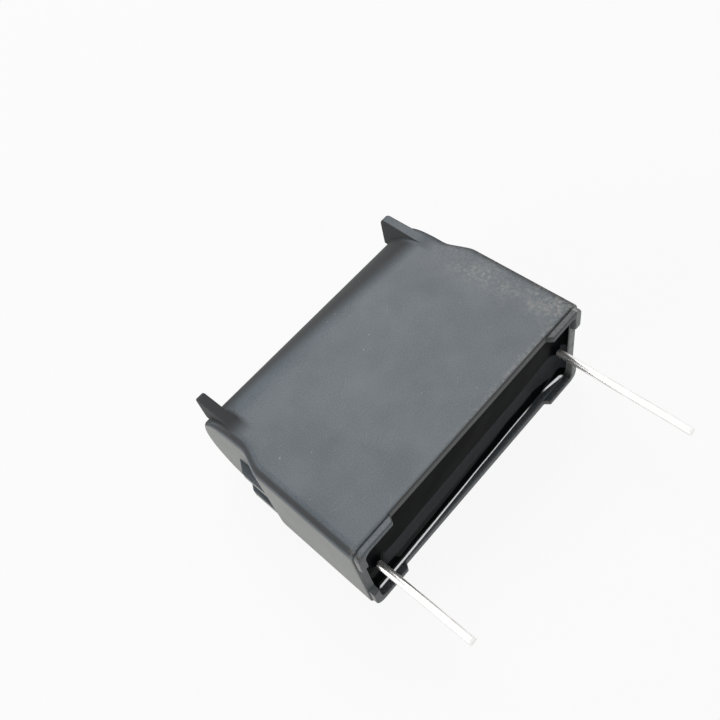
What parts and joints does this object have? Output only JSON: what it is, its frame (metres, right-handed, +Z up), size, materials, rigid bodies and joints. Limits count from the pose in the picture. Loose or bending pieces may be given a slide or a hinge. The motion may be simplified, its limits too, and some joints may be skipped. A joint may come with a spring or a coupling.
{
  "type": "film capacitor",
  "caption": "Potted box film capacitor with an arched back, corner ears and radial leads, lying on its broad side.",
  "frame": {"origin": "centre of the base of the box that holds the whole part as it lies on one broad side", "axes": "+X along the case, +Y from the potting rim towards the arched back, so the leads point to -Y, +Z up through the case's thickness"},
  "size_m": [0.032, 0.0366, 0.013],
  "materials": {
    "case_plastic": "fine moulded grain, slightly scuffed",
    "potting_epoxy": "smooth poured resin with wetted edges",
    "metallised_film": "wound film with a thin metal layer",
    "plain_film": "clear wrapped film",
    "sprayed_zinc": "rough sprayed metal",
    "solder": "smooth soft solder",
    "tinned_wire": "bright tinned copper wire"
  },
  "bodies": {
    "root": {"case": "case_plastic", "potting_resin": "potting_epoxy", "film_winding": "metallised_film", "outer_wrap": "plain_film", "end_spray_near": "sprayed_zinc", "end_spray_far": "sprayed_zinc", "solder_bead_near": "solder", "solder_bead_far": "solder", "lead_near": "tinned_wire", "lead_far": "tinned_wire"}
  },
  "joints": []
}
